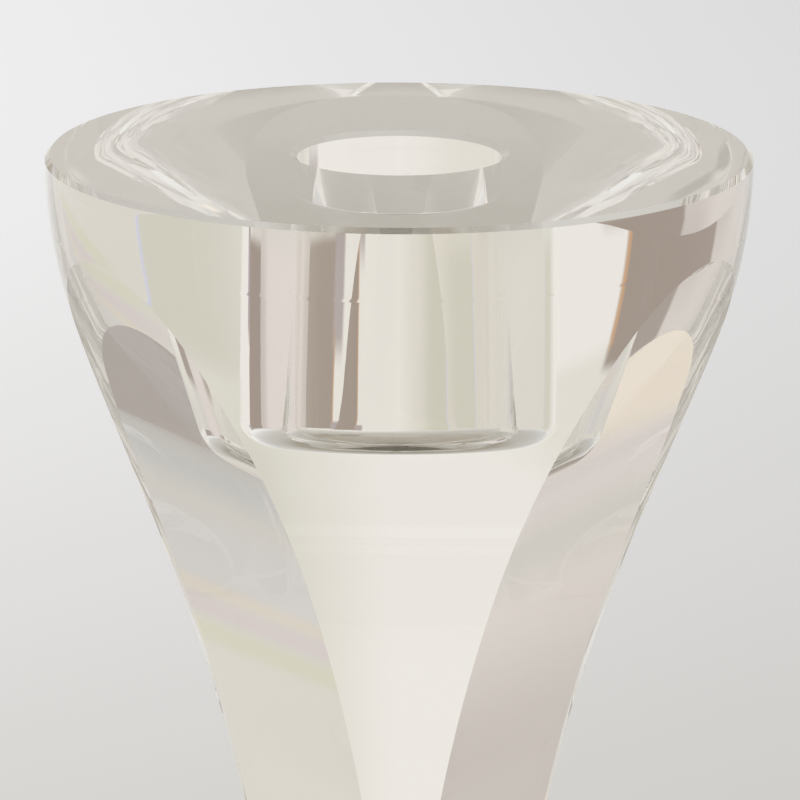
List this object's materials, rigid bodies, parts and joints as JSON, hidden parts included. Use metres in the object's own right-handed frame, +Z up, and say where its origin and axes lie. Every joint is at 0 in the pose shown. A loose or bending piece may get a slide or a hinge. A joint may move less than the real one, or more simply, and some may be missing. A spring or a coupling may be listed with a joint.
{
  "type": "glass candlestick",
  "caption": "Tall hourglass candlestick of clear cut crystal with long concave side cuts and a round socket for a taper candle in its flat top.",
  "frame": {"origin": "centre of the footprint, on the surface that the pads stand on", "axes": "+Z up along the candle socket's axis; a rib between two side cuts faces -Y"},
  "size_m": [0.0762, 0.0762, 0.2286],
  "materials": {
    "crystal": "polished clear optical crystal",
    "bond": "clear cured adhesive film",
    "pad": "clear soft polyurethane"
  },
  "bodies": {
    "root": {"upper_crystal": "crystal", "lower_crystal": "crystal", "waist_bond": "bond", "bumper_pads": "pad"}
  },
  "joints": []
}
